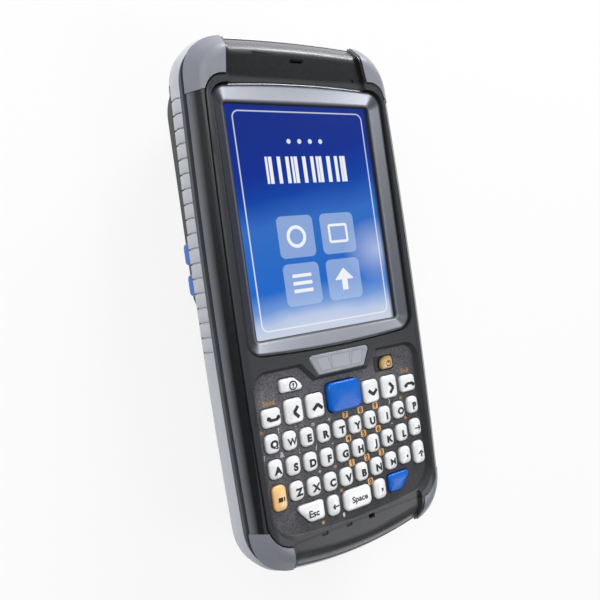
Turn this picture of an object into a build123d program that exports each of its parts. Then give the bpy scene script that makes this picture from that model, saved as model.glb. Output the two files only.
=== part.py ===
"""Portable barcode data terminal, lying on its back.

+Z points out of the display, +Y to the scanning end, +X to the right seen from the front.
The origin is under the middle of the body, on the surface it lies on. Millimetres.
"""
from build123d import *
from dataclasses import dataclass
import os

os.makedirs("parts", exist_ok=True)

# ---- body ------------------------------------------------------------------------------
body_length = 167.2
body_width = 82.0
side_barrel = 1.7  # how far the barrelled sides draw in towards the ends
top_arch = 1.7  # rise of the curved top end
bottom_arch = 5.6  # rise of the curved bottom end
top_corner = 16.5
bottom_corner = 17.0
front_height = 33.0  # crest of the front above the surface
split_height = 26.8  # joint between front shell and side band
band_bottom = 20.6  # joint between side band and back
shell_inset = 1.2  # front shell set in from the band
shoulder = 6.1  # sloping edge of the front shell
end_reach = 1.9  # how much further the flat front runs at the two ends
slope_overrun = 1.0  # how far the slope's form stands outside the shell's upright edge
crest_radius = 5.0
wall = 2.0
seat_gap = 0.1  # between curved faces of pieces fixed together
fit_gap = 0.3  # between pieces that part or move

# ---- display ---------------------------------------------------------------------------
display_from_top = 58.3  # display centre from the top end
display_y = body_length / 2 - display_from_top
window_width = 53.6
window_height = 71.4
bezel_width = 63.0
bezel_height = 83.0
bezel_arch = 1.4  # bow of the bezel's top and bottom edges
bezel_shift = 0.4
bezel_corner = 5.0
bezel_lip = 0.5
bezel_rise = 2.0
bezel_gap = 0.4
window_corner = 0.8
glass_height = 30.0  # display surface above the surface
glass_thickness = 1.2
glass_width = 60.6
glass_length = 79.6
panel_width = 57.0
panel_length = 76.0

# ---- keypad, places from the display centre --------------------------------------------
keypad_width = 61.4
keypad_top = -45.7
keypad_bottom = -96.2
keypad_arch = 2.0
keypad_floor = 31.0  # panel surface
keypad_wall = 1.2
keypad_slope = 1.2  # run of the sloped edge round the panel
keypad_corner = 4.0
keypad_base_corner = 9.0
keypad_notch_width = 30.0
keypad_notch_base = 21.0
keypad_notch_depth = 5.0
column_pitch = 6.116
row_pitch = 7.67
first_row_y = -67.42
row_smile = 1.2  # rise of a row at its ends
letter_width = 4.7
letter_height = 5.8
letter_corner = 1.6
key_rise = 1.3  # key top above the panel
key_edge = 0.7  # sloping edge of a key's top
key_gap = 0.25
key_lip = 0.5
lip_thickness = 0.8
lip_gap = 0.25
key_travel = 0.8
stem_radius = 1.1
centre_key_rise = 2.3
power_pocket_depth = 0.8
power_pocket_shift = 1.3
power_pocket_room = 0.3
stem_gap = 0.05

# ---- status window, places from the display centre -------------------------------------
status_top = -42.7
status_bottom = -49.3
status_top_width = 24.2
status_bottom_width = 17.6
status_depth = 1.6
status_corner = 1.2
status_rise = 0.1
status_edge = 0.4

# ---- crest ring round the bezel and the keypad, places from the display centre ----------
ring_inset = 7.1  # from the body's outline
ring_top = 43.4
ring_bottom = -97.2
ring_top_corner = 6.0
ring_bottom_corner = 8.5
ring_groove = 0.5
ring_groove_floor = 31.2

# ---- end plates and bumpers, places from the display centre ----------------------------
plate_half_width = body_width / 2 - 15.8
plate_lean = 0.14  # how much the plates and bumpers lean in per length
top_plate_drop = 1.2
bottom_plate_drop = 1.4
bumper_gap = 1.0  # rib between a plate and a bumper
bumper_start_top = 39.2
bumper_start_bottom = -91.4
bumper_start_lean = 0.1
bumper_rise = 0.3
bumper_depth = 0.9
groove_width = 0.8
groove_depth = 2.3
groove_height = 27.5

earpiece_y = 49.4
earpiece_width = 5.2
earpiece_height = 1.2
lights_y = -97.6
light_x_outer = -13.7
light_x_inner = -4.5
light_width = 2.5
light_height = 1.2
light_depth = 0.4
microphone_x = 4.5
microphone_width = 2.4
microphone_height = 1.4
sensor_x = 21.0
sensor_y = 44.2
sensor_radius = 0.5

# ---- side band -------------------------------------------------------------------------
band_width = 3.2
band_edge = 1.3
notch_count = 18
notch_pitch = 4.4
notch_first_y = 38.0  # from the display centre
notch_width = 0.5
notch_depth = 0.5

# ---- back ------------------------------------------------------------------------------
hump_half_width = body_width / 2 - 4
waist_half_width = body_width / 2 - 7
hump_end_y = 5.0
waist_start_y = -5.0
back_top = body_length / 2 - 3.8
back_bottom = 4.2 - body_length / 2
back_corner = 18.0
back_slope = 10.5
rim_height = 18.6  # where the rim starts
rim_inset = 1.4
floor_height = 16.0
bay_top = -6.0
bay_bottom = 14.8 - body_length / 2
bay_height = 14.0
nose_half_width = 19.0
nose_length = 20.0
nose_end = body_length / 2 - 2.2
nose_low = 3.0
nose_edge = 2.0

# ---- board and screws ------------------------------------------------------------------
board_inset = 6.2
board_top = 25.6
board_thickness = 1.2
dome_radius = 2.0
dome_sides = 6
dome_height = 0.5
screw_radius = 1.2
screw_hole_gap = 0.05
screw_head_radius = 2.3
screw_head_height = 1.6
screw_well_radius = 2.8
screw_seat = 12.0
screw_end = 29.0
boss_radius = 2.6
post_x = body_width / 2 - 11
post_y = -14.0
top_screw_x = body_width / 2 - 16
top_screw_y = body_length / 2 - 12
bottom_screw_x = body_width / 2 - 20
bottom_screw_y = 9.6 - body_length / 2
board_posts = [(side * post_x, post_y) for side in (1, -1)]
screw_places = [(side * top_screw_x, top_screw_y) for side in (1, -1)]
screw_places += [(side * bottom_screw_x, bottom_screw_y) for side in (1, -1)]

# ---- scanner ---------------------------------------------------------------------------
scan_window_width = 30.0
scan_window_height = 11.0
scan_window_z = 10.5
scan_window_thickness = 1.5
scan_window_recess = 0.5
engine_width = 24.0
engine_length = 13.0
engine_height = 12.0
lens_radius = 4.0
lens_length = 1.6
aimer_radius = 1.6
aimer_offset = 7.5

# ---- side keys -------------------------------------------------------------------------
side_key_z = 14.8
side_key_height = 6.6
side_key_rise = 1.1
side_key_travel = 0.6
side_key_lip = 0.6
side_key_lip_thickness = 0.8
side_key_length = 6.8
side_key_corner = 1.6
side_key_round = 0.8
side_lip_gap = 0.5
left_upper_y = 18.85
left_lower_y = 9.15
right_scan_y = 14.0
right_scan_length = 16.5

# ---- battery latch ---------------------------------------------------------------------
latch_width = 17.0
latch_length = 9.0
latch_thickness = 2.0
latch_sink = 0.4
latch_wing = 1.5
latch_wing_thickness = 1.0
latch_travel = 3.0
latch_tooth_width = 10.0
latch_engagement = 0.6
latch_gap = 0.2
latch_groove = 0.6
pack_travel = 15.0
pack_gap = 0.15


@dataclass
class Key:
    """One key: its place from the display centre, its size and its cut corner, if any."""

    name: str
    x: float
    y: float
    width: float
    height: float
    corner: float = 1.4
    rise: float = key_rise
    cut: tuple = None  # cut width, cut height, side (+1 right), end (+1 top)


def keypad_layout():
    """Every key of the pad, row by row from the display down."""
    keys = [
        Key("key_help", -18.5, -50.15, 8.0, 4.3, 1.0, key_rise, (2.8, 2.8, 1, 1)),
        Key("key_power", 19.4, -50.2, 5.2, 4.4, 1.0, 0.7, (1.6, 1.6, -1, 1)),
        Key("key_centre", 0.0, -57.2, 12.4, 9.4, 2.0, centre_key_rise),
    ]
    left_names = ("key_send", "key_left", "key_up")
    right_names = ("key_end", "key_right", "key_down")
    for side, (outer, middle, inner) in ((-1, left_names), (1, right_names)):
        keys.append(Key(outer, side * 26.6, -58.65, 6.5, 5.7, 1.3))
        keys.append(Key(middle, side * 18.7, -58.25, 6.4, 7.6, 1.4))
        keys.append(Key(inner, side * 10.9, -58.25, 6.4, 7.6, 1.4))
    rows = ("q w e r t y u i o p", "a s d f g h j k l enter", "orange z x c v b n m period shift")
    last = len(rows[0].split()) - 1
    for row, names in enumerate(rows):
        for column, name in enumerate(names.split()):
            x = (column - last / 2) * column_pitch
            y = first_row_y - row * row_pitch + row_smile * (2 * column / last - 1) ** 2
            key = Key(f"key_{name}", x, y, letter_width, letter_height, letter_corner)
            if name in ("orange", "shift"):
                key.y -= 0.95
                key.height = 7.7
            keys.append(key)
    keys.append(Key("key_esc", -17.4, -89.75, 9.2, 5.9, 1.0, key_rise, (3.6, 4.4, -1, -1)))
    keys.append(Key("key_backspace", -9.2, -90.1, 4.4, 6.4, letter_corner))
    keys.append(Key("key_space", 0.0, -90.35, 10.8, 6.6, 1.8))
    keys.append(Key("key_comma", 9.2, -90.1, 4.8, 6.4, letter_corner))
    keys.append(Key("key_blue", 17.4, -89.75, 8.8, 5.9, 1.0, key_rise, (3.6, 4.4, 1, -1)))
    return keys


def body_outline(inset, reach=0):
    """Plan outline of the body, drawn in all round by inset, with its ends moved out by reach."""
    half = body_width / 2 - side_barrel
    end = body_length / 2 + reach
    with BuildSketch() as plan:
        with BuildLine():
            ThreePointArc((half, end - top_arch), (body_width / 2, 0), (half, bottom_arch - end))
            ThreePointArc((half, bottom_arch - end), (0, -end), (-half, bottom_arch - end))
            ThreePointArc((-half, bottom_arch - end), (-body_width / 2, 0), (-half, end - top_arch))
            ThreePointArc((-half, end - top_arch), (0, end), (half, end - top_arch))
        make_face()
        if inset:
            offset(amount=-inset, kind=Kind.INTERSECTION)
        fillet(plan.vertices().group_by(Axis.Y)[-1], top_corner - inset)
        fillet(plan.vertices().group_by(Axis.Y)[0], bottom_corner - inset)
    return plan.sketch


def side_reach(y):
    """Half width of the barrelled body at a place along it."""
    return body_width / 2 - side_barrel * (2 * y / body_length) ** 2


def front_form(grow):
    """Solid under the front surface, moved out by grow: crest, round and slope, upright at the ends."""
    slope_share = 2 - 2**0.5  # keeps the slope parallel as the form grows
    with BuildPart() as form:
        with BuildSketch(Plane.XY.offset(band_bottom)):
            add(body_outline(shell_inset - grow - slope_overrun, end_reach))
        extrude(amount=front_height + grow - band_bottom)
        slope = shoulder + slope_overrun + slope_share * grow
        chamfer(form.faces().sort_by(Axis.Z)[-1].edges(), slope)
        fillet(form.faces().sort_by(Axis.Z)[-1].edges(), crest_radius)
        with BuildSketch(Plane.XY.offset(band_bottom)):
            add(body_outline(shell_inset - grow))
        extrude(amount=front_height + grow - band_bottom, mode=Mode.INTERSECT)
    return form.part


def keypad_plan():
    """Outline of the sunk keypad panel, with its notch under the status window."""
    half = keypad_width / 2
    notch_half = keypad_notch_width / 2
    notch_base_half = keypad_notch_base / 2
    with BuildSketch() as plan:
        with BuildLine():
            Polyline(
                (-half, keypad_bottom + keypad_arch),
                (-half, keypad_top),
                (-notch_half, keypad_top),
                (-notch_base_half, keypad_top - keypad_notch_depth),
                (notch_base_half, keypad_top - keypad_notch_depth),
                (notch_half, keypad_top),
                (half, keypad_top),
                (half, keypad_bottom + keypad_arch),
            )
            ThreePointArc(
                (half, keypad_bottom + keypad_arch),
                (0, keypad_bottom),
                (-half, keypad_bottom + keypad_arch),
            )
        make_face()
        for y, radius in ((keypad_top, keypad_corner), (keypad_bottom + keypad_arch, keypad_base_corner)):
            fillet([plan.vertices().sort_by_distance((x, y))[0] for x in (-half, half)], radius)
    return plan.sketch


def status_plan(grow):
    """Tapered outline of the status window."""
    with BuildSketch() as plan:
        Polygon(
            (-status_top_width / 2, status_top),
            (-status_bottom_width / 2, status_bottom),
            (status_bottom_width / 2, status_bottom),
            (status_top_width / 2, status_top),
            align=None,
        )
        fillet(plan.vertices(), status_corner)
        offset(amount=grow)
    return plan.sketch


def key_plan(key, grow):
    """Outline of one key, moved out by grow."""
    with BuildSketch() as plan:
        if key.cut:
            cut_x, cut_y, side, end = key.cut
            half_x = key.width / 2
            half_y = key.height / 2
            corners = [
                (-half_x, -half_y),
                (half_x, -half_y),
                (half_x, half_y - cut_y),
                (half_x - cut_x, half_y),
                (-half_x, half_y),
            ]
            placed = [(key.x + side * x, key.y + end * y) for x, y in corners]
            if side * end < 0:
                placed.reverse()
            Polygon(*placed, align=None)
            fillet(plan.vertices(), key.corner)
        else:
            with Locations((key.x, key.y)):
                RectangleRounded(key.width, key.height, key.corner)
        if grow:
            offset(amount=grow)
    return plan.sketch


def display_plane(height):
    """Plane at a height above the surface, centred on the display."""
    return Plane((0, display_y, height))


def bezel_plan(grow):
    """Outline of the bezel, moved out by grow: upright sides, bowed ends and round corners."""
    half_x = bezel_width / 2
    half_y = bezel_height / 2
    with BuildSketch() as plan:
        with BuildLine():
            Line((-half_x, bezel_arch - half_y), (-half_x, half_y - bezel_arch))
            ThreePointArc((-half_x, half_y - bezel_arch), (0, half_y), (half_x, half_y - bezel_arch))
            Line((half_x, half_y - bezel_arch), (half_x, bezel_arch - half_y))
            ThreePointArc((half_x, bezel_arch - half_y), (0, -half_y), (-half_x, bezel_arch - half_y))
        make_face()
        if grow:
            offset(amount=grow, kind=Kind.INTERSECTION)
        fillet(plan.vertices(), bezel_corner + grow)
    return plan.sketch.moved(Location((0, bezel_shift, 0)))


def ring_plan(grow):
    """Outline of the crest ring, moved out by grow: barrelled sides and straight ends."""
    middle_x = body_width / 2 - ring_inset
    top_x = side_reach(display_y + ring_top) - ring_inset
    bottom_x = side_reach(display_y + ring_bottom) - ring_inset
    with BuildSketch() as plan:
        with BuildLine():
            ThreePointArc((top_x, ring_top), (middle_x, -display_y), (bottom_x, ring_bottom))
            Line((bottom_x, ring_bottom), (-bottom_x, ring_bottom))
            ThreePointArc((-bottom_x, ring_bottom), (-middle_x, -display_y), (-top_x, ring_top))
            Line((-top_x, ring_top), (top_x, ring_top))
        make_face()
        if grow:
            offset(amount=grow, kind=Kind.INTERSECTION)
        fillet(plan.vertices().group_by(Axis.Y)[-1], ring_top_corner + grow)
        fillet(plan.vertices().group_by(Axis.Y)[0], ring_bottom_corner + grow)
    return plan.sketch


def bumper_region(side, end):
    """Prism round one corner of the body, outside the crest ring."""
    inner = plate_half_width + bumper_gap
    start = bumper_start_top if end > 0 else bumper_start_bottom
    turn = ring_top if end > 0 else ring_bottom
    start_x = side_reach(display_y + start) - ring_inset
    with BuildPart() as region:
        with BuildSketch(display_plane(groove_height + groove_width)):
            corners = [
                (inner + plate_lean * abs(turn - start), start),
                (inner, turn),
                (inner - plate_lean * body_width / 2, turn + end * body_width / 2),
                (body_width, turn + end * body_width / 2),
                (body_width, start - end * bumper_start_lean * (body_width - start_x)),
                (start_x, start),
            ]
            placed = [(side * x, y) for x, y in corners]
            if side * end > 0:
                placed.reverse()
            Polygon(*placed, align=None)
            add(ring_plan(ring_groove), mode=Mode.SUBTRACT)
        extrude(amount=front_height)
    return region.part


def plate_region(end):
    """Prism over the plain plate between the bumpers at one end."""
    start = ring_top if end > 0 else ring_bottom
    with BuildPart() as region:
        with BuildSketch(display_plane(split_height + 1)):
            corners = [
                (plate_half_width, start - end * bezel_corner),
                (plate_half_width, start),
                (plate_half_width - plate_lean * body_width / 2, start + end * body_width / 2),
            ]
            corners += [(-x, y) for x, y in reversed(corners)]
            if end < 0:
                corners.reverse()
            Polygon(*corners, align=None)
        extrude(amount=front_height)
    return region.part


def back_plan(inset):
    """Plan outline of the back: full width at the hump, narrower at the waist."""
    with BuildSketch() as plan:
        with BuildLine():
            Polyline(
                (hump_half_width, back_top),
                (hump_half_width, hump_end_y),
                (waist_half_width, waist_start_y),
                (waist_half_width, back_bottom),
                (-waist_half_width, back_bottom),
                (-waist_half_width, waist_start_y),
                (-hump_half_width, hump_end_y),
                (-hump_half_width, back_top),
                close=True,
            )
        make_face()
        if inset:
            offset(amount=-inset, kind=Kind.INTERSECTION)
        fillet(plan.vertices().group_by(Axis.Y)[0], back_corner - inset)
        fillet(plan.vertices().group_by(Axis.Y)[-1], back_corner - inset)
    return plan.sketch


def back_form(inset, top):
    """Solid of the back up to a height, with sloping edges, drawn in all round by inset."""
    slope_share = 2 - 2**0.5  # keeps the slope parallel as the form is drawn in
    with BuildPart() as form:
        with BuildSketch(Plane.XY.offset(inset)):
            add(back_plan(inset))
        extrude(amount=top - inset)
        chamfer(form.faces().sort_by(Axis.Z)[0].edges(), back_slope - slope_share * inset)
    return form.part


# ---- places worked out from the sizes above --------------------------------------------
keys = keypad_layout()
power_key = next(key for key in keys if key.name == "key_power")
bumper_corners = [(side, end) for side in (-1, 1) for end in (-1, 1)]
keypad_underside = keypad_floor - keypad_wall
board_bottom = board_top - board_thickness
dome_top = board_top + dome_height
engine_low = scan_window_z - engine_height / 2
engine_back_y = nose_end - scan_window_recess - scan_window_thickness - 1 - lens_length - engine_length
throat_width = scan_window_width - 4
throat_height = scan_window_height - 2
latch_top = latch_sink + latch_thickness + latch_gap
latch_start = bay_top + wall
latch_way = latch_length + latch_travel + 2 * latch_gap
latch_roof = latch_top + wall
side_lip_x = hump_half_width - wall - side_lip_gap
side_stop_x = side_lip_x - side_key_lip_thickness - side_key_travel - stem_gap
side_keys = {
    "left_upper_button": (-1, left_upper_y, side_key_length),
    "left_lower_button": (-1, left_lower_y, side_key_length),
    "right_scan_button": (1, right_scan_y, right_scan_length),
}

# how a block lies from its place: standing on it, hanging under it, behind or before it
stand = (Align.CENTER, Align.CENTER, Align.MIN)
hang = (Align.CENTER, Align.CENTER, Align.MAX)
stand_behind = (Align.CENTER, Align.MIN, Align.MIN)
stand_before = (Align.CENTER, Align.MAX, Align.MIN)
hang_behind = (Align.CENTER, Align.MIN, Align.MAX)
run_to_end = (Align.CENTER, Align.MIN, Align.CENTER)
cut_below_y = (Align.CENTER, Align.MAX, Align.CENTER)
cut_above_y = (Align.CENTER, Align.MIN, Align.CENTER)

# ---- corner bumpers: four moulded corners on the front shell ----------------------------
proud_form = front_form(bumper_rise)
sunk_form = front_form(-bumper_depth + seat_gap)
with BuildPart() as corner_bumpers:
    for side, end in bumper_corners:
        add(bumper_region(side, end))
    add(proud_form, mode=Mode.INTERSECT)
    add(sunk_form, mode=Mode.SUBTRACT)
corner_bumpers.part.label = "corner_bumpers"
export_step(corner_bumpers.part, "parts/corner_bumpers.step")

# ---- front housing ---------------------------------------------------------------------
with BuildPart() as bumper_seats:
    for side, end in bumper_corners:
        add(bumper_region(side, end))
    add(front_form(-bumper_depth), mode=Mode.SUBTRACT)

with BuildPart() as plate_cuts:
    for end, drop in ((-1, bottom_plate_drop), (1, top_plate_drop)):
        with BuildPart() as plate_cut:
            add(plate_region(end))
            add(front_form(0).moved(Location((0, 0, -drop))), mode=Mode.SUBTRACT)
        add(plate_cut.part)

with BuildPart() as front_hollow:
    with BuildSketch(Plane.XY.offset(split_height)):
        add(body_outline(shell_inset + wall * 2**0.5))
    extrude(amount=keypad_underside - split_height)
    chamfer(front_hollow.faces().sort_by(Axis.Z)[-1].edges(), 0.95 * (keypad_underside - split_height))

with BuildPart() as ring_cut:
    with BuildSketch(display_plane(ring_groove_floor)):
        add(ring_plan(ring_groove))
        add(ring_plan(0), mode=Mode.SUBTRACT)
        Rectangle(2 * (plate_half_width + bumper_gap), 2 * body_length, mode=Mode.SUBTRACT)
    extrude(amount=front_height)

with BuildPart() as side_groove:
    with BuildSketch(Plane.XY.offset(groove_height)):
        add(body_outline(0))
        add(body_outline(shell_inset + groove_depth), mode=Mode.SUBTRACT)
    extrude(amount=groove_width)

with BuildPart() as front_housing:
    add(front_form(0))
    with Locations((0, 0, split_height)):
        Box(2 * body_width, 2 * body_length, front_height, align=hang, mode=Mode.SUBTRACT)
    for cutter in (bumper_seats, plate_cuts, front_hollow, side_groove, ring_cut):
        add(cutter.part, mode=Mode.SUBTRACT)
    # opening for the bezel and the display under it
    with BuildSketch(display_plane(split_height)):
        add(bezel_plan(bezel_gap))
    extrude(amount=front_height, mode=Mode.SUBTRACT)
    # sunk keypad panel with its sloped edge
    with BuildSketch(display_plane(keypad_floor)):
        add(keypad_plan())
    with BuildSketch(display_plane(front_height)):
        add(keypad_plan())
        offset(amount=keypad_slope, kind=Kind.INTERSECTION)
    loft(ruled=True, mode=Mode.SUBTRACT)
    # seat of the status window
    with BuildSketch(display_plane(front_height - status_depth)):
        add(status_plan(seat_gap))
    extrude(amount=front_height, mode=Mode.SUBTRACT)
    # pocket round the power key
    with BuildSketch(display_plane(keypad_floor - power_pocket_depth)):
        with Locations((power_key.x - power_pocket_shift, power_key.y)):
            RectangleRounded(
                power_key.width + 2 * (power_pocket_shift + power_pocket_room),
                power_key.height + 2 * power_pocket_room,
                power_key.corner,
            )
    extrude(amount=power_pocket_depth, mode=Mode.SUBTRACT)
    # one aperture for each key
    with BuildSketch(display_plane(keypad_underside)):
        for key in keys:
            add(key_plan(key, key_gap))
    extrude(amount=keypad_wall, mode=Mode.SUBTRACT)
    # earpiece and microphone slots
    with BuildSketch(display_plane(split_height)):
        with Locations((0, earpiece_y)):
            SlotOverall(earpiece_width, earpiece_height)
        with Locations((microphone_x, lights_y)):
            Rectangle(microphone_width, microphone_height)
    extrude(amount=front_height, mode=Mode.SUBTRACT)
    # two charge lights and the ambient light sensor
    with BuildSketch(display_plane(front_height - bottom_plate_drop - light_depth)):
        with Locations((light_x_outer, lights_y), (light_x_inner, lights_y)):
            SlotOverall(light_width, light_height)
    extrude(amount=front_height, mode=Mode.SUBTRACT)
    with BuildSketch(display_plane(front_height - top_plate_drop - light_depth)):
        with Locations((sensor_x, sensor_y)):
            Circle(sensor_radius)
    extrude(amount=front_height, mode=Mode.SUBTRACT)
    # screw bosses under the front, closed above the screw ends
    with BuildSketch(Plane.XY.offset(board_top)):
        with Locations(*screw_places):
            Circle(boss_radius)
            Circle(screw_radius + screw_hole_gap, mode=Mode.SUBTRACT)
    extrude(amount=screw_end + seat_gap - board_top)
    with BuildSketch(Plane.XY.offset(screw_end + seat_gap)):
        with Locations(*screw_places):
            Circle(boss_radius)
    extrude(amount=keypad_underside - screw_end - seat_gap)
front_housing.part.label = "front_housing"
export_step(front_housing.part, "parts/front_housing.step")

# ---- side band with finger notches -----------------------------------------------------
def band_form(inset):
    """Solid inside the band's outer surface, drawn in all round by inset."""
    slope_share = 2 - 2**0.5  # keeps the slopes parallel as the form is drawn in
    with BuildPart() as form:
        with BuildSketch(Plane.XY.offset(band_bottom + inset)):
            add(body_outline(inset))
        extrude(amount=split_height - band_bottom - 2 * inset)
        edge = band_edge - slope_share * inset
        chamfer(form.faces().sort_by(Axis.Z)[-1].edges(), edge)
        chamfer(form.faces().sort_by(Axis.Z)[0].edges(), edge)
    return form.part


with BuildPart() as notches:
    for number in range(notch_count):
        notch_y = display_y + notch_first_y - number * notch_pitch
        notch_x = side_reach(notch_y)
        with Locations((-notch_x, notch_y, band_bottom), (notch_x, notch_y, band_bottom)):
            Box(2 * band_edge, notch_width, split_height - band_bottom, align=stand)
    add(band_form(notch_depth), mode=Mode.SUBTRACT)

with BuildPart() as grip_band:
    add(band_form(0))
    with BuildSketch(Plane.XY.offset(band_bottom)):
        add(body_outline(band_width))
    extrude(amount=split_height - band_bottom, mode=Mode.SUBTRACT)
    add(notches.part, mode=Mode.SUBTRACT)
grip_band.part.label = "grip_band"
export_step(grip_band.part, "parts/grip_band.step")

# ---- rear housing: hump, chin, rim and the tongue inside the band -----------------------
with BuildPart() as nose:
    with BuildSketch(Plane.XY.offset(nose_low)):
        with Locations((0, nose_end - nose_length / 2)):
            Rectangle(2 * nose_half_width, nose_length)
    extrude(amount=band_bottom - nose_low)
    fillet(nose.edges().filter_by(Axis.Z).group_by(Axis.Y)[-1], nose_edge)
    fillet(nose.faces().sort_by(Axis.Z)[0].edges(), nose_edge)

with BuildPart() as hump_hollow:
    add(back_form(wall, rim_height))
    with Locations((0, bay_top + wall, 0)):
        Box(2 * body_width, body_length, 2 * front_height, align=cut_below_y, mode=Mode.SUBTRACT)

with BuildPart() as inner_walls:
    with Locations(*screw_places):
        Cylinder(screw_well_radius + wall, screw_seat + wall, align=stand)
    for side, y, length in side_keys.values():
        with Locations((side * (side_stop_x - wall / 2), y, 0)):
            Box(wall, length, side_key_z + side_key_height / 2, align=stand)
    add(back_form(0, rim_height), mode=Mode.INTERSECT)

with BuildPart() as rear_housing:
    add(back_form(0, rim_height))
    add(nose.part)
    with BuildSketch(Plane.XY.offset(rim_height)):
        add(body_outline(rim_inset))
    extrude(amount=band_bottom - rim_height)
    with BuildSketch(Plane.XY.offset(band_bottom)):
        add(body_outline(band_width + seat_gap))
    extrude(amount=split_height - band_bottom)
    # hollow of the hump and of the pan above it
    add(hump_hollow.part, mode=Mode.SUBTRACT)
    with BuildSketch(Plane.XY.offset(floor_height)):
        add(back_plan(wall))
    extrude(amount=band_bottom - floor_height, mode=Mode.SUBTRACT)
    with BuildSketch(Plane.XY.offset(band_bottom)):
        add(body_outline(band_width + seat_gap + wall))
    extrude(amount=split_height - band_bottom, mode=Mode.SUBTRACT)
    # battery bay, open at the back and on both flanks
    with Locations((0, (bay_top + bay_bottom) / 2, 0)):
        Box(2 * body_width, bay_top - bay_bottom, 2 * bay_height, mode=Mode.SUBTRACT)
    # seat of the scan engine, the throat in front of it and the pocket of the window
    with Locations((0, engine_back_y, wall)):
        Box(engine_width + 2 * wall, nose_end - engine_back_y - wall, engine_low - wall, align=stand_behind)
    with Locations((0, engine_back_y - fit_gap, engine_low)):
        Box(
            engine_width + 2 * fit_gap,
            engine_length + lens_length + 3 * fit_gap,
            engine_height + fit_gap,
            align=stand_behind,
            mode=Mode.SUBTRACT,
        )
    with Locations((0, engine_back_y, scan_window_z)):
        Box(throat_width, body_length, throat_height, align=run_to_end, mode=Mode.SUBTRACT)
    with Locations((0, nose_end - scan_window_recess - scan_window_thickness, scan_window_z)):
        Box(
            scan_window_width + 2 * seat_gap,
            nose_length,
            scan_window_height + 2 * seat_gap,
            align=run_to_end,
            mode=Mode.SUBTRACT,
        )
    # walls round the screw wells, stops behind the side keys, posts under the board
    add(inner_walls.part)
    for x, y in screw_places + board_posts:
        with Locations((x, y, screw_seat + wall)):
            Cylinder(boss_radius, board_bottom - screw_seat - wall, align=stand)
    with Locations(*[(x, y, 0) for x, y in screw_places]):
        Cylinder(screw_well_radius, 2 * screw_seat, mode=Mode.SUBTRACT)
        Cylinder(screw_radius + screw_hole_gap, front_height, align=stand, mode=Mode.SUBTRACT)
    # pad and slideway of the battery latch
    with Locations((0, bay_top + wall, wall)):
        Box(latch_width + 4 * wall, latch_way + wall, latch_roof, align=stand_behind)
    with Locations((0, latch_start - latch_gap, 0)):
        Box(latch_width + 2 * latch_gap, latch_way, 2 * latch_top, align=run_to_end, mode=Mode.SUBTRACT)
    with Locations((0, latch_start - latch_gap, latch_top)):
        Box(
            latch_width + 2 * (latch_wing + latch_gap),
            latch_way,
            latch_wing_thickness + 2 * latch_gap,
            align=hang_behind,
            mode=Mode.SUBTRACT,
        )
    with Locations((0, bay_top - 1, latch_top)):
        Box(
            latch_tooth_width + 2 * latch_gap,
            latch_start - bay_top + 1,
            latch_wing_thickness + 2 * latch_gap,
            align=hang_behind,
            mode=Mode.SUBTRACT,
        )
    # openings of the side keys
    for side, y, length in side_keys.values():
        with Locations((side * hump_half_width, y, side_key_z)):
            Box(4 * wall, length + 2 * key_gap, side_key_height + 2 * key_gap, mode=Mode.SUBTRACT)
rear_housing.part.label = "rear_housing"
export_step(rear_housing.part, "parts/rear_housing.step")

# ---- battery pack: the lower back, cut from the same form ------------------------------
with BuildPart() as battery_pack:
    add(back_form(0, bay_height - pack_gap))
    with Locations((0, bay_bottom + fit_gap, 0)):
        Box(2 * body_width, body_length, front_height, align=cut_below_y, mode=Mode.SUBTRACT)
    with Locations((0, bay_top - fit_gap, 0)):
        Box(2 * body_width, body_length, front_height, align=cut_above_y, mode=Mode.SUBTRACT)
    with Locations((0, bay_top - fit_gap, latch_top - latch_wing_thickness - latch_gap)):
        Box(
            latch_tooth_width + 4 * latch_gap,
            4 * latch_engagement,
            latch_wing_thickness + pack_travel * latch_engagement / latch_travel + 3 * latch_gap,
            align=stand,
            mode=Mode.SUBTRACT,
        )
battery_pack.part.label = "battery_pack"
export_step(battery_pack.part, "parts/battery_pack.step")

# ---- battery latch: thumb slider with wings, a tooth and three ribs ---------------------
with BuildPart() as battery_latch:
    with Locations((0, latch_start, latch_sink)):
        Box(latch_width, latch_length, latch_thickness, align=stand_behind)
    with Locations((0, latch_start, latch_top - latch_gap - latch_wing_thickness)):
        Box(latch_width + 2 * latch_wing, latch_length, latch_wing_thickness, align=stand_behind)
        Box(
            latch_tooth_width,
            latch_start - bay_top + fit_gap + latch_engagement,
            latch_wing_thickness,
            align=stand_before,
        )
    with Locations((0, latch_start + latch_length / 2, latch_sink)):
        with GridLocations(1, latch_length / 4, 1, 3):
            Box(latch_width - 4, latch_length / 8, 2 * latch_groove, mode=Mode.SUBTRACT)
battery_latch.part.label = "battery_latch"
export_step(battery_latch.part, "parts/battery_latch.step")

# ---- display: bezel, display module and status window ----------------------------------
with BuildPart() as display_bezel:
    with BuildSketch(display_plane(glass_height)):
        add(bezel_plan(0))
    extrude(amount=bezel_rise)
    with BuildSketch(display_plane(glass_height)):
        RectangleRounded(window_width, window_height, window_corner)
    with BuildSketch(display_plane(glass_height + bezel_rise)):
        add(bezel_plan(-bezel_lip))
    loft(ruled=True, mode=Mode.SUBTRACT)
display_bezel.part.label = "display_bezel"
export_step(display_bezel.part, "parts/display_bezel.step")

with BuildPart() as display_module:
    with BuildSketch(display_plane(board_top)):
        with Locations((0, bezel_shift)):
            Rectangle(panel_width, panel_length)
    extrude(amount=glass_height - glass_thickness - board_top)
    with BuildSketch(display_plane(glass_height - glass_thickness)):
        with Locations((0, bezel_shift)):
            Rectangle(glass_width, glass_length)
    extrude(amount=glass_thickness)
display_module.part.label = "display_module"
export_step(display_module.part, "parts/display_module.step")

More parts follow.
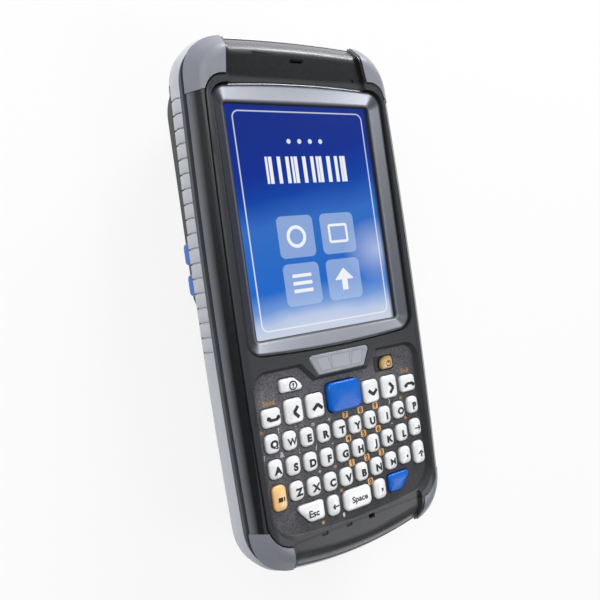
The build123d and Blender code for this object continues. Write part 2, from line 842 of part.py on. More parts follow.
with BuildPart() as status_window:
    with BuildSketch(display_plane(front_height - status_depth)):
        add(status_plan(0))
    extrude(amount=status_depth + status_rise)
    chamfer(status_window.faces().sort_by(Axis.Z)[-1].edges(), status_edge)
status_window.part.label = "status_window"
export_step(status_window.part, "parts/status_window.step")

# ---- keys: a cap with a sloping edge, a lip under the panel and a stem over its dome -----
for key in keys:
    lip_top = keypad_underside - lip_gap
    with BuildPart() as key_cap:
        with BuildSketch(display_plane(lip_top - lip_thickness)):
            with Locations((key.x, key.y)):
                Rectangle(key.width + 2 * key_lip, key.height + 2 * key_lip)
        extrude(amount=lip_thickness)
        with BuildSketch(display_plane(lip_top)):
            add(key_plan(key, 0))
        extrude(amount=keypad_floor + key.rise - lip_top)
        chamfer(key_cap.faces().sort_by(Axis.Z)[-1].edges(), key_edge)
        with BuildSketch(display_plane(dome_top + key_travel + stem_gap)):
            with Locations((key.x, key.y)):
                RegularPolygon(stem_radius, dome_sides)
        extrude(amount=lip_top - lip_thickness - dome_top - key_travel - stem_gap)
    key_cap.part.label = key.name
    export_step(key_cap.part, f"parts/{key.name}.step")

# ---- main board with a dome switch under every key --------------------------------------
with BuildPart() as main_board:
    with BuildSketch(Plane.XY.offset(board_bottom)):
        add(body_outline(board_inset))
        with Locations(*screw_places):
            Circle(screw_radius + 3 * screw_hole_gap, mode=Mode.SUBTRACT)
    extrude(amount=board_thickness)
    with BuildSketch(display_plane(board_top)):
        with Locations(*[(key.x, key.y) for key in keys]):
            RegularPolygon(dome_radius, dome_sides)
    extrude(amount=dome_height)
main_board.part.label = "main_board"
export_step(main_board.part, "parts/main_board.step")

# ---- scanner ---------------------------------------------------------------------------
with BuildPart() as scan_window:
    with Locations((0, nose_end - scan_window_recess - scan_window_thickness, scan_window_z)):
        Box(scan_window_width, scan_window_thickness, scan_window_height, align=run_to_end)
scan_window.part.label = "scan_window"
export_step(scan_window.part, "parts/scan_window.step")

with BuildPart() as scan_engine:
    with Locations((0, engine_back_y, engine_low)):
        Box(engine_width, engine_length, engine_height, align=stand_behind)
    with BuildSketch(Plane.XZ.offset(-engine_back_y - engine_length)):
        with Locations((0, scan_window_z)):
            Circle(lens_radius)
        with Locations((-aimer_offset, scan_window_z), (aimer_offset, scan_window_z)):
            Circle(aimer_radius)
    extrude(amount=-lens_length)
scan_engine.part.label = "scan_engine"
export_step(scan_engine.part, "parts/scan_engine.step")

# ---- side keys: a rounded cap through the flank and a lip behind it ---------------------
for name, (side, y, length) in side_keys.items():
    with BuildPart() as side_key:
        with BuildSketch(Plane((side * side_lip_x, y, side_key_z), x_dir=(0, 1, 0), z_dir=(side, 0, 0))):
            RectangleRounded(length, side_key_height, side_key_corner)
        extrude(amount=hump_half_width + side_key_rise - side_lip_x)
        fillet(side_key.faces().sort_by(Axis.X)[-1 if side > 0 else 0].edges(), side_key_round)
        with BuildSketch(Plane((side * side_lip_x, y, side_key_z), x_dir=(0, 1, 0), z_dir=(side, 0, 0))):
            Rectangle(length + 2 * side_key_lip, side_key_height + 2 * side_key_lip)
        extrude(amount=-side_key_lip_thickness)
    side_key.part.label = name
    export_step(side_key.part, f"parts/{name}.step")

# ---- housing screws --------------------------------------------------------------------
with BuildPart() as housing_screws:
    with Locations(*[(x, y, screw_seat) for x, y in screw_places]):
        Cylinder(screw_head_radius, screw_head_height, align=hang)
        Cylinder(screw_radius, screw_end - screw_seat, align=stand)
housing_screws.part.label = "housing_screws"
export_step(housing_screws.part, "parts/housing_screws.step")
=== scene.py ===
"""Finishes, keycaps, legends, display picture and studio stage of a hand-held data terminal.

Laid out as an add-on and run as a script. Lengths are in metres in the frame's own axes: +Z out of the
display, +Y to the scanning end, the back on the surface z = 0. The finishes and the tables of keys,
prints and signs count in millimetres, and there y starts at the middle of the display's picture.
"""

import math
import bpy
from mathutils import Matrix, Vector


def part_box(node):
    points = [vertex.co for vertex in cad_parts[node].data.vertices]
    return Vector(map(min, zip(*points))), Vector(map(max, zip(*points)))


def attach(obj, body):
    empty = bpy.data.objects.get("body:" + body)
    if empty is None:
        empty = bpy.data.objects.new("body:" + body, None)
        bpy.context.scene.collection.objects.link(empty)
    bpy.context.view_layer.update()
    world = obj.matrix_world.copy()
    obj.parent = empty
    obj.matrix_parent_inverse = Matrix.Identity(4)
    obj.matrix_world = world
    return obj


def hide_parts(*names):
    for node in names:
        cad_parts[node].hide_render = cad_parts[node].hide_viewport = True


bl_info = {
    "name": "Data terminal dressing",
    "version": (1, 0, 0),
    "blender": (4, 5, 0),
    "location": "View3D > Sidebar > Terminal",
    "description": "Gives the frame of a hand-held data terminal its finishes, caps and prints",
    "category": "Object",
}

import bpy
from mathutils import Matrix, Vector

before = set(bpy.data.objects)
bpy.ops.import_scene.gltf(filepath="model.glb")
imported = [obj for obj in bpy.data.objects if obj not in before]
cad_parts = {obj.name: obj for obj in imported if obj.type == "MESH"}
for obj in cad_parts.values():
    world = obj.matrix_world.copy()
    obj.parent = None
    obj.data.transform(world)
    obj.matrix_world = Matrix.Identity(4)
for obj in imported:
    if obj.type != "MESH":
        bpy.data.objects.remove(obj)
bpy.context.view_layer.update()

MM = 0.001
# the picture's middle is a little nearer the keypad than its module's, and a key stands over the panel
DISPLAY_LOW, DISPLAY_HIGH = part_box("display_module")
DISPLAY_Y = (DISPLAY_LOW.y + DISPLAY_HIGH.y) / 2 - 0.4 * MM
DISPLAY_MID = DISPLAY_Y / MM
GLASS_Z = DISPLAY_HIGH.z
PANEL_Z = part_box("key_q")[1].z - 1.3 * MM
PANEL_LEVEL = PANEL_Z / MM


# ---- keys ----

KEYS = sorted(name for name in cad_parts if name.startswith("key_"))
# these share one cap and carry their own name as a capital
LETTERS = "q w e r t y u i o p a s d f g h j k l z x c v b n m".split()
BLUE_KEYS = ("key_centre", "key_blue")
ORANGE_KEYS = ("key_orange", "key_power")
# keys with one cut corner: its side and end as signs, then how much is cut across and along
CUT_KEYS = {
    "key_help": (1, 1, 2.8, 2.8),
    "key_power": (-1, 1, 1.6, 1.6),
    "key_esc": (-1, -1, 3.6, 4.4),
    "key_blue": (1, -1, 3.6, 4.4),
}
USUAL_CORNER = 1.6
CORNERS = {
    "key_centre": 2.0,
    "key_space": 1.8,
    **dict.fromkeys(("key_left", "key_right", "key_up", "key_down"), 1.4),
    **dict.fromkeys(("key_send", "key_end"), 1.3),
    **dict.fromkeys(CUT_KEYS, 1.0),
}
CORNER_STEPS = 6
EDGE_STEPS = 6
CROWN_STEPS = 5
# the widest rounded edge and the reach of the crown, as shares of a cap's width and half width
EDGE_SHARE = 0.24
CROWN_REACH = 0.94
# how far a cap goes on under the panel
CAP_FOOT = 0.6 * MM

SIDE_KEYS = ("left_upper_button", "left_lower_button")
# what stands further out than this is the part of a side key that is touched
FLANK_X = -37 * MM
# doubles of a copied mesh lie within this
MERGE_WITHIN = 0.002 * MM


# ---- legends and prints ----

# how far a legend stands from its cap's middle
LEGEND_SHIFT = Vector((0.5, -0.35, 0)) * MM
# how much a letter's strokes grow, and how much it is widened
USUAL_LETTER = (0.065, 1.1)
WIDE_LETTERS = {"m": (0.015, 1.15), "w": (0.03, 1.0)}
# the way that an open arrow points, in degrees from +X
CHEVRONS = {"key_left": 180, "key_right": 0, "key_up": 90, "key_down": -90}
# the text and the size of the other lettered keys
WORDS = {
    "key_esc": ("Esc", 2.9),
    "key_space": ("Space", 2.7),
    "key_comma": (",", 4.6),
    "key_period": (".", 5.0),
}
WORD_BOLD = 0.03
PANEL_BOLD = 0.01
SIGN_SIZE = 2.3 * MM
WORD_SIZE = 2.2 * MM

# second functions on the panel: digits on tiles, words and marks in tan, small signs in white
DIGITS = {
    "7": (0.1, -63.6), "8": (6.2, -63.4), "9": (12.3, -63.3),
    "4": (0.1, -71.3), "5": (6.2, -71.1), "6": (12.3, -71.0),
    "1": (0.1, -79.2), "2": (6.2, -79.0), "3": (12.3, -78.8),
    "0": (6.3, -86.9),
}
PANEL_WORDS = {"Send": (-26.6, -54.2), "End": (26.6, -54.2)}
PANEL_MARKS = (
    (-30.3, -62.4), (23.4, -63.0), (24.3, -70.1),
    (-6.3, -78.7), (-5.3, -86.6), (-13.5, -94.3),
)
PANEL_SIGNS = (
    ("!", -24.4, -62.9), (":", -18.4, -63.6), ("=", -12.3, -63.9), ("+", -6.2, -63.7),
    ("?", -30.4, -70.0), ("&", -24.4, -70.3), (";", -18.3, -70.9), ("/", -12.2, -71.1),
    ("-", -6.1, -71.4), ("*", -12.2, -78.7), (")", 18.3, -63.2), ("-", 18.3, -70.6),
)
LAMP_SIGN = (-5.6, -94.3)
DIGIT_TILE = 2.1 * MM
# steps of the curves in letters, in the corners of bars and in rings
TEXT_STEPS, BAR_STEPS, RING_STEPS = 4, 4, 7
# a sign starts this high over its cap before it is laid down, with this many cuts in each edge
HOVER = 2 * MM
SIGN_CUTS = 3


# ---- display and status window ----

# the blue field from its lower to its upper end
FIELD_STOPS = (
    (0.02, (0.6, 0.66, 0.79)),
    (0.07, (0.5, 0.6, 0.82)),
    (0.13, (0.16, 0.32, 0.7)),
    (0.21, (0.01, 0.14, 0.59)),
    (0.5, (0.03, 0.15, 0.54)),
    (0.64, (0.0, 0.05, 0.38)),
    (0.76, (0.0, 0.024, 0.28)),
    (1.0, (0.0, 0.02, 0.24)),
)
FIELD_HEIGHT = 71.4
# places of the tiles with the circle, the box, the lines and the arrow
TILES = ((-8.0, -5.5), (8.0, -5.5), (-8.0, -20.5), (8.0, -20.5))
TILE_HALF = (6.6, 6.6)
TILE_BLUE = (0.5, 0.64, 0.88)
SIGN_WHITE = (0.93, 0.95, 0.98)
GLARE_WHITE = (0.72, 0.8, 0.92)
LINE_WHITE = (0.86, 0.9, 0.96)
BAR_WHITE = (0.9, 0.93, 0.97)
DOT_WHITE = (0.8, 0.87, 0.96)
GAP_BLACK = (0.004, 0.006, 0.016)
GLASS_BLACK = (0.004, 0.005, 0.007)
# width of a soft line's edge in the picture
SOFT = 0.22

# panes of the status window: place, half size and how far they lean per height
LAMP_PANES = (
    (0.0, -45.9, 3.4, 2.1, 0.0),
    (-6.3, -45.9, 2.0, 2.1, -0.25),
    (6.3, -45.9, 2.0, 2.1, 0.25),
)


# ---- mouldings ----

# heights on the front shell: its edge by the band, the slope over that, the crest over the display,
# the chin under the keys and the flat that surrounds the display and the keys
EDGE_TOP = 27.5
SLOPE_LOW, SLOPE_TOP = 27.9, 29.6
CREST_LOW = 29.5
CHIN_LOW = 31.0
SURROUND_LOW = 31.3
# half widths and ends of the same places
PAD_HALF = 30.9
SURROUND_HALF = 34.1
SURROUND_START, SURROUND_END = -97, 43.5
CHIN_END = -97.5
CREST_HALF, CREST_START = 25.0, 52.6
# painted sheen low on the slope
SLOPE_SHEEN_GREY = (0.2, 0.205, 0.225)
SURROUND_BLACK = (0.06, 0.061, 0.066)
# painted highlight on the rounded crest
CREST_HIGHLIGHT_GREY = (0.22, 0.225, 0.245)

# the bezel has painted shade under its foot's height and over its rim's
BEZEL_FOOT, BEZEL_RIM = 30.4, 31.85
BEZEL_SHADE = (0.03, 0.032, 0.04)
BEZEL_ROUND = 0.8 * MM

# the band's notches with painted shade ramping across each, and its lower lip by the upper back
NOTCH_START, NOTCH_END, NOTCH_PITCH = -39.0, 38.0, 4.4
NOTCH_SHADE_GREY = (0.2, 0.2, 0.22)
LIP_TOP = 22.7
LIP_START, LIP_END = -1.6, 43.0

LATCH_GREY = (0.2, 0.2, 0.22)
BOARD_GREEN = (0.012, 0.09, 0.03)
ENGINE_BLACK = (0.015, 0.015, 0.017)
SCREW_STEEL = (0.45, 0.45, 0.46)
SCAN_RED = (0.05, 0.006, 0.01)


# ---- stage ----

# where the lamps aim, then each lamp's place from there, width, height and the setting of its power
LAMP_AIM = Vector((0, 0.005, 0.02))
LAMPS = {
    "main_box": ((-0.62, 0.42, 0.80), 0.8, 0.8, "main_power"),
    "front_strip": ((0.58, -0.45, 0.80), 0.5, 0.36, "front_power"),
    "back_box": ((0.56, 0.50, 0.66), 0.4, 0.3, "back_power"),
    "rim_strip": ((0.47, 0.83, 0.30), 0.5, 0.16, "rim_power"),
}
SKY_COLOUR = (0.94, 0.96, 1.0, 1)
# strength of the surroundings where the camera sees them, and how much darker they are at the right
SKY_SEEN = 0.97
RIGHT_SHADE = 0.85
# how much of the floor is its own pale glow where it is seen
FLOOR_GLOW = 0.85
FLOOR_DROP = 0.2 * MM
SENSOR_WIDTH = 36
# the camera's right and backward directions
EYE_RIGHT = Vector((0.8451, -0.1402, 0.5160))
EYE_BACK = Vector((-0.5196, 0.0123, 0.8543))


# ---- settings ----


class TerminalColours(bpy.types.PropertyGroup):
    """Colours of the mouldings, keys and prints."""

    shell: bpy.props.FloatVectorProperty(
        name="Shell", description="Black front",
        default=(0.012, 0.0125, 0.015), subtype="COLOR", size=3,
    )
    back: bpy.props.FloatVectorProperty(
        name="Back", description="Black back and pack",
        default=(0.03, 0.031, 0.034), subtype="COLOR", size=3,
    )
    panel: bpy.props.FloatVectorProperty(
        name="Panel", description="Sunk keypad panel",
        default=(0.125, 0.125, 0.138), subtype="COLOR", size=3,
    )
    strip: bpy.props.FloatVectorProperty(
        name="Strip", description="Shell's edge by the band",
        default=(0.12, 0.125, 0.14), subtype="COLOR", size=3,
    )
    band: bpy.props.FloatVectorProperty(
        name="Band", description="Side band",
        default=(0.6, 0.61, 0.66), subtype="COLOR", size=3,
    )
    bumper: bpy.props.FloatVectorProperty(
        name="Bumper", description="Soft corners",
        default=(0.235, 0.245, 0.285), subtype="COLOR", size=3,
    )
    bezel: bpy.props.FloatVectorProperty(
        name="Bezel", description="Frame of the display",
        default=(0.3, 0.31, 0.35), subtype="COLOR", size=3,
    )
    window: bpy.props.FloatVectorProperty(
        name="Window", description="Status window",
        default=(0.3, 0.31, 0.35), subtype="COLOR", size=3,
    )
    key: bpy.props.FloatVectorProperty(
        name="Key", description="White keys",
        default=(0.84, 0.84, 0.85), subtype="COLOR", size=3,
    )
    blue: bpy.props.FloatVectorProperty(
        name="Blue", description="Blue keys",
        default=(0.002, 0.12, 0.56), subtype="COLOR", size=3,
    )
    orange: bpy.props.FloatVectorProperty(
        name="Orange", description="Orange keys",
        default=(0.93, 0.58, 0.25), subtype="COLOR", size=3,
    )
    legend: bpy.props.FloatVectorProperty(
        name="Legend", description="Black print",
        default=(0.012, 0.012, 0.014), subtype="COLOR", size=3,
    )
    tile: bpy.props.FloatVectorProperty(
        name="Tile", description="Tiles behind the digits",
        default=(0.8, 0.42, 0.15), subtype="COLOR", size=3,
    )
    tan: bpy.props.FloatVectorProperty(
        name="Tan", description="Words on the panel",
        default=(0.42, 0.22, 0.09), subtype="COLOR", size=3,
    )
    sign: bpy.props.FloatVectorProperty(
        name="Sign", description="Small signs on the panel",
        default=(0.62, 0.62, 0.63), subtype="COLOR", size=3,
    )


class TerminalKeys(bpy.types.PropertyGroup):
    """Sizes of the keycaps and of what is printed on them."""

    lip: bpy.props.FloatProperty(
        name="Lip", description="Lip hidden under the panel",
        default=0.5 * MM, unit="LENGTH",
    )
    crown: bpy.props.FloatProperty(
        name="Crown", description="Rise of the cap's middle over its rounded edge",
        default=0.22 * MM, unit="LENGTH",
    )
    edge: bpy.props.FloatProperty(
        name="Edge", description="Rounded edge of a cap",
        default=0.75 * MM, unit="LENGTH",
    )
    push: bpy.props.FloatProperty(
        name="Push", description="How much further out the left side keys stand",
        default=0.45 * MM, unit="LENGTH",
    )
    letter: bpy.props.FloatProperty(
        name="Letter", description="Height of a letter's line",
        default=3.0 * MM, unit="LENGTH",
    )
    print_lift: bpy.props.FloatProperty(
        name="Print lift", description="Thickness of the printed ink",
        default=0.04 * MM, unit="LENGTH",
    )


class TerminalStage(bpy.types.PropertyGroup):
    """Camera and light."""

    lens: bpy.props.FloatProperty(
        name="Lens", description="Focal length of the camera, in millimetres",
        default=37.65, unit="CAMERA",
    )
    eye: bpy.props.FloatVectorProperty(
        name="Eye",
        description="Place of the camera from the middle of the display",
        default=(-0.11162, -0.0229, 0.16709),
        subtype="TRANSLATION",
        size=3,
    )
    floor: bpy.props.FloatProperty(
        name="Floor", description="Width of the pale floor",
        default=3.0, unit="LENGTH",
    )
    sky: bpy.props.FloatProperty(
        name="Sky", description="Strength of the surroundings' light",
        default=0.2,
    )
    main_power: bpy.props.FloatProperty(
        name="Main box", description="Power of the large soft lamp over the left side",
        default=7.6, unit="POWER",
    )
    front_power: bpy.props.FloatProperty(
        name="Front strip", description="Power of the lamp that the bezel shows",
        default=2.5, unit="POWER",
    )
    back_power: bpy.props.FloatProperty(
        name="Back box", description="Power of the lamp behind the display end",
        default=0.4, unit="POWER",
    )
    rim_power: bpy.props.FloatProperty(
        name="Rim strip", description="Power of the low lamp that lines the rounded end",
        default=10.0, unit="POWER",
    )


# ---- materials ----


class Mask:
    """A number that varies over a surface. Python's operators on it add Math nodes to its finish."""

    def __init__(self, finish, socket):
        self.finish = finish
        self.socket = socket

    def __add__(self, other):
        return self.finish.math("ADD", self, other)

    def __sub__(self, other):
        return self.finish.math("SUBTRACT", self, other)

    def __rsub__(self, other):
        return self.finish.math("SUBTRACT", other, self)

    def __mul__(self, other):
        return self.finish.math("MULTIPLY", self, other)

    def __truediv__(self, other):
        return self.finish.math("DIVIDE", self, other)

    def __pow__(self, other):
        return self.finish.math("POWER", self, other)

    def __abs__(self):
        return self.finish.math("ABSOLUTE", self)

    def __mod__(self, other):
        return self.finish.math("FLOORED_MODULO", self, other)

    __radd__ = __add__
    __rmul__ = __mul__

    def most(self, other):
        """The larger of two numbers."""
        return self.finish.math("MAXIMUM", self, other)

    def least(self, other):
        """The smaller of two numbers."""
        return self.finish.math("MINIMUM", self, other)

    def clamp(self):
        """The number kept between 0 and 1."""
        return self.most(0).least(1)

    def above(self, level, soft=0.1):
        """1 where the number is over a level, 0 where it is under it, with a soft step."""
        return ((self - level) / soft + 0.5).clamp()

    def below(self, level, soft=0.1):
        """1 where the number is under a level, 0 where it is over it, with a soft step."""
        return 1 - self.above(level, soft)


class Finish:
    """A procedural material on the piece's own coordinates, counted in millimetres."""

    def __init__(self, name):
        self.material = bpy.data.materials.new(name)
        self.material.use_nodes = True
        self.tree = self.material.node_tree
        self.tree.nodes.clear()
        self.output = self.tree.nodes.new("ShaderNodeOutputMaterial")
        place = self.node("ShaderNodeTexCoord").outputs["Object"]
        scaled = self.node("ShaderNodeVectorMath", {"operation": "SCALE"}, {0: place, "Scale": 1 / MM})
        self.place = scaled.outputs[0]
        self.split(self.place)

    def split(self, place):
        """Takes a vector apart into the masks x, y and z."""
        parts = self.node("ShaderNodeSeparateXYZ", sockets={0: place}).outputs
        self.x, self.y, self.z = (Mask(self, socket) for socket in parts)

    @property
    def along(self):
        """Length along the terminal from the middle of the display."""
        return self.y - DISPLAY_MID

    def node(self, kind, settings=None, sockets=None, stops=None):
        """Adds a node: its settings first, then a ramp's stops, then its sockets' values or links."""
        made = self.tree.nodes.new(kind)
        for name, value in (settings or {}).items():
            setattr(made, name, value)
        if stops:
            ramp = made.color_ramp
            while len(ramp.elements) < len(stops):
                ramp.elements.new(0.5)
            for element, (position, colour) in zip(ramp.elements, stops):
                element.position = position
                element.color = (*colour, 1)
        for name, value in (sockets or {}).items():
            self.feed(made.inputs[name], value)
        return made

    def feed(self, socket, value):
        """Links a mask or a socket to a socket, or sets its number or colour."""
        if isinstance(value, Mask):
            value = value.socket
        if isinstance(value, bpy.types.NodeSocket):
            self.tree.links.new(value, socket)
        elif socket.type == "RGBA":
            socket.default_value = (*tuple(value)[:3], 1)
        else:
            socket.default_value = value

    def math(self, operation, first, second=0.0):
        """A Math node on masks or numbers."""
        made = self.node("ShaderNodeMath", {"operation": operation}, {0: first, 1: second})
        return Mask(self, made.outputs[0])

    def mix(self, mask, first, second):
        """One colour where the mask is 0, the other where it is 1."""
        made = self.node("ShaderNodeMix", {"data_type": "RGBA"}, {0: mask, 6: first, 7: second})
        return made.outputs[2]

    def noise(self, size, detail=2.0, roughness=0.5, stretch=None):
        """Even noise from 0 to 1, with spots of a size in millimetres."""
        place = self.place
        if stretch:
            sockets = {0: place, 1: stretch}
            place = self.node("ShaderNodeVectorMath", {"operation": "MULTIPLY"}, sockets).outputs[0]
        sockets = {"Vector": place, "Scale": 1 / size, "Detail": detail, "Roughness": roughness}
        return Mask(self, self.node("ShaderNodeTexNoise", sockets=sockets).outputs[0])

    def bump(self, height, depth):
        """A normal from a height mask and its depth in millimetres."""
        sockets = {"Height": height, "Distance": depth * MM, "Strength": 1.0}
        return self.node("ShaderNodeBump", sockets=sockets).outputs[0]

    def rounded_box(self, centre, half, corner):
        """Distance from the outline of a rounded box in plan, negative inside it."""
        across = abs(self.x - centre[0]) - (half[0] - corner)
        along = abs(self.y - (DISPLAY_MID + centre[1])) - (half[1] - corner)
        outside = (across.most(0) ** 2 + along.most(0) ** 2) ** 0.5
        return outside + across.most(along).least(0) - corner

    def surface(self, **sockets):
        """The finished surface. Socket names are written with underscores."""
        named = {name.replace("_", " "): value for name, value in sockets.items()}
        shader = self.node("ShaderNodeBsdfPrincipled", sockets=named)
        self.tree.links.new(shader.outputs[0], self.output.inputs[0])
        return self.material


class Sky(Finish):
    """The surroundings' nodes, with the direction from the terminal as their place."""

    def __init__(self, world):
        self.tree = world.node_tree
        self.split(self.node("ShaderNodeTexCoord").outputs["Generated"])


def toned(colour, factor, lift=0.0):
    """A colour made darker or lighter."""
    return tuple(min(1.0, part * factor + lift) for part in colour)


def grained(name, colour, roughness, grain=0.45, depth=0.03, spread=0.35, **sockets):
    """Moulded plastic with a fine even grain."""
    finish = Finish(name)
    grit = finish.noise(grain, 3.0, 0.6)
    cloud = finish.noise(14.0)
    fleck = (grit * 1.6 - 0.3 + (cloud - 0.5) * 0.3).clamp()
    return finish.surface(
        Base_Color=finish.mix(fleck, toned(colour, 1 - spread), toned(colour, 1 + spread)),
        Roughness=roughness + (grit - 0.5) * 0.2,
        Normal=finish.bump(grit, depth),
        **sockets,
    )


def glossy(name, colour, roughness=0.22, coat=0.4, shine=0.5):
    """Glossy moulded cap: clear over colour, faintly wavy and hazy, with painted shade darkening it at
    its foot.
    """
    finish = Finish(name)
    wave = finish.noise(2.5, 1.0)
    haze = finish.noise(7.0, 3.0)
    # painted shade: the cap's colour darkens towards its foot by the panel
    foot = finish.z.below(PANEL_LEVEL + 0.62, 0.9) * finish.z.above(PANEL_LEVEL - 1.0, 0.2)
    clean = finish.mix(haze, colour, toned(colour, 1.04, 0.004))
    return finish.surface(
        Base_Color=finish.mix(foot * 0.75, clean, toned(colour, 0.25)),
        Roughness=roughness + (haze - 0.5) * 0.12,
        Specular_IOR_Level=shine,
        Coat_Weight=coat,
        Coat_Roughness=0.12,
        Normal=finish.bump(wave, 0.008),
    )


def ink(name, colour):
    """Printed ink of a slightly uneven tone."""
    finish = Finish(name)
    speck = finish.noise(0.35)
    return finish.surface(
        Base_Color=finish.mix(speck, colour, toned(colour, 1.15, 0.003)),
        Roughness=0.5 + (speck - 0.5) * 0.1,
    )


def front_shell_finish(colours):
    """Black front: satin slopes with a painted sheen low on them, a grained keypad panel with painted
    light, a greyer crest from a painted highlight and a grey lower edge.
    """
    finish = Finish("black_front")
    height, along, from_middle = finish.z, finish.along, abs(finish.x)
    grit = finish.noise(0.4, 3.0, 0.65)
    cloud = finish.noise(20.0)
    speck = (grit * 2.2 - 0.75).clamp()
    # places on the shell: the sunk panel, the lowest edge, the slope over it with a painted sheen, the
    # flat round the display and the keys, the chin under them, and the rounded crest over the display
    # with a painted highlight
    panel_height = height.below(PANEL_LEVEL + 0.35, 0.2) * height.above(PANEL_LEVEL - 0.4, 0.2)
    pad = panel_height * from_middle.below(PAD_HALF, 0.3)
    edge = height.below(EDGE_TOP, 0.06)
    painted_slope_sheen = height.below(SLOPE_TOP, 1.6) * height.above(SLOPE_LOW, 0.2)
    lengthwise = along.below(SURROUND_END, 1.0) * along.above(SURROUND_START, 1.0)
    surround = height.above(SURROUND_LOW, 0.4) * from_middle.below(SURROUND_HALF, 0.2) * lengthwise
    chin = height.above(CHIN_LOW, 0.4) * along.below(CHIN_END, 0.6)
    crest = along.above(CREST_START, 0.8) * height.above(CREST_LOW, 1.0)
    crest = crest * from_middle.below(CREST_HALF, 0.3)
    base = finish.mix(speck, toned(colours.shell, 0.55), toned(colours.shell, 1.5))
    # painted sheen: the slope's lower part is lighter grey, where it would mirror a lamp
    base = finish.mix(painted_slope_sheen * 0.85, base, SLOPE_SHEEN_GREY)
    base = finish.mix((surround * 0.7).most(chin * 0.7), base, SURROUND_BLACK)
    # painted highlight: the rounded crest at the scanning end is greyer, where it would catch a lamp
    base = finish.mix(crest * 0.5, base, CREST_HIGHLIGHT_GREY)
    # painted light: the panel is greyer at its upper left end and darker towards its lower right
    painted_panel_light = ((along + 98) / 46 - finish.x * 0.012).clamp() * 0.75 + 0.25
    flecks = finish.mix(speck, toned(colours.panel, 0.42), toned(colours.panel, 2.0))
    base = finish.mix(pad, base, finish.mix(painted_panel_light, colours.shell, flecks))
    return finish.surface(
        Base_Color=finish.mix(edge, base, colours.strip),
        Roughness=(0.32 + pad * 0.2 - crest * 0.1 + (grit - 0.5) * 0.2 + (cloud - 0.5) * 0.08).clamp(),
        Normal=finish.bump(grit, 0.02),
        Specular_IOR_Level=0.28,
    )


def blue_field(finish, drift):
    """The picture's ground: blue that fades to white below, with a soft glare at its right."""
    height = (finish.along + FIELD_HEIGHT / 2) / FIELD_HEIGHT
    level = (height + (drift - 0.5) * 0.1 - finish.x * height * 0.0042).clamp()
    field = finish.node("ShaderNodeValToRGB", sockets={0: level}, stops=FIELD_STOPS).outputs[0]
    glare = (1 - (((finish.x - 23) / 14) ** 2 + ((finish.along + 12) / 11) ** 2) ** 0.5).clamp()
    field = finish.mix(glare * 0.55, field, GLARE_WHITE)
    outline = abs(finish.rounded_box((-0.3, 0.2), (24.2, 33.6), 2.2)).below(0.2, SOFT)
    field = finish.mix(outline * (0.92 - height * 0.25), field, LINE_WHITE)
    # the dark gap between the picture's right edge and the bezel
    return finish.mix(finish.x.above(25.6, 1.4), field, GAP_BLACK)


def tile_signs(finish):
    """The signs on the tiles: a circle, a box, three lines and an arrow."""
    across, up = finish.x, finish.along
    (ring_x, ring_y), box_place, lines_place, (arrow_x, arrow_y) = TILES
    from_ring = ((across - ring_x) ** 2 + (up - ring_y) ** 2) ** 0.5
    circle = abs(from_ring - 3.0).below(0.55, SOFT)
    box = abs(finish.rounded_box(box_place, (3.4, 2.7), 0.5)).below(0.42, SOFT)
    rows = abs((up - lines_place[1] + 3.2) % 2.4 - 1.2).below(0.55, SOFT)
    lines = finish.rounded_box(lines_place, (3.5, 3.3), 0.3).below(0, SOFT) * rows
    diamond = (abs(across - arrow_x) + abs(up - arrow_y)).below(3.6, SOFT)
    head = diamond * (up - arrow_y).above(-0.2, SOFT)
    stem = finish.rounded_box((arrow_x, arrow_y - 1.7), (1.1, 1.9), 0.2).below(0, SOFT)
    return circle, box, lines, head.most(stem)


def picture_finish():
    """The lit picture: a blue field in a thin frame, bars with dots over them, and four tiles."""
    finish = Finish("display_picture")
    drift = finish.noise(26.0)
    picture = blue_field(finish, drift)
    for place in TILES:
        tile = finish.rounded_box(place, TILE_HALF, 1.8).below(0, SOFT)
        picture = finish.mix(tile * 0.5, picture, TILE_BLUE)
    for sign in tile_signs(finish):
        picture = finish.mix(sign * 0.95, picture, SIGN_WHITE)
    # upright bars of uneven width come from two beats that don't match
    in_bars = finish.rounded_box((0, 15.5), (15.5, 4.2), 0.2).below(0, SOFT)
    wide = abs((finish.x + 40) % 3.1 - 1.5).below(0.62, SOFT)
    narrow = abs((finish.x + 40.6) % 4.7 - 2.0).below(0.42, SOFT)
    picture = finish.mix(in_bars * wide.most(narrow) * 0.97, picture, BAR_WHITE)
    from_dot = (((abs(finish.x) - 4.0) % 4.0 - 2.0) ** 2 + (finish.along - 24.5) ** 2) ** 0.5
    dots = from_dot.below(0.75, SOFT) * abs(finish.x).below(8, SOFT)
    picture = finish.mix(dots * 0.9, picture, DOT_WHITE)
    return finish.surface(
        Base_Color=GLASS_BLACK,
        Emission_Color=picture,
        Emission_Strength=0.95,
        Roughness=0.3 + (drift - 0.5) * 0.04,
        Specular_IOR_Level=0.2,
    )


def bezel_finish(colours):
    """Satin grey frame with soft corners, with painted shade at its foot round the glass and at its rim
    on the shell.
    """
    finish = Finish("satin_bezel")
    grit = finish.noise(0.3)
    foot = finish.z.below(BEZEL_FOOT, 0.4)
    rim = finish.z.above(BEZEL_RIM, 0.2)
    fleck = (grit * 1.4 - 0.2).clamp()
    base = finish.mix(fleck, toned(colours.bezel, 0.94), toned(colours.bezel, 1.06))
    return finish.surface(
        # painted shade: dark at the foot round the glass and at the rim by the shell
        Base_Color=finish.mix((foot * 0.9).most(rim * 0.75), base, BEZEL_SHADE),
        Metallic=0.95 - foot * 0.9,
        Roughness=0.3 + foot * 0.35 + (grit - 0.5) * 0.06,
        Normal=finish.node("ShaderNodeBevel", {"samples": 8}, {"Radius": BEZEL_ROUND}).outputs[0],
    )


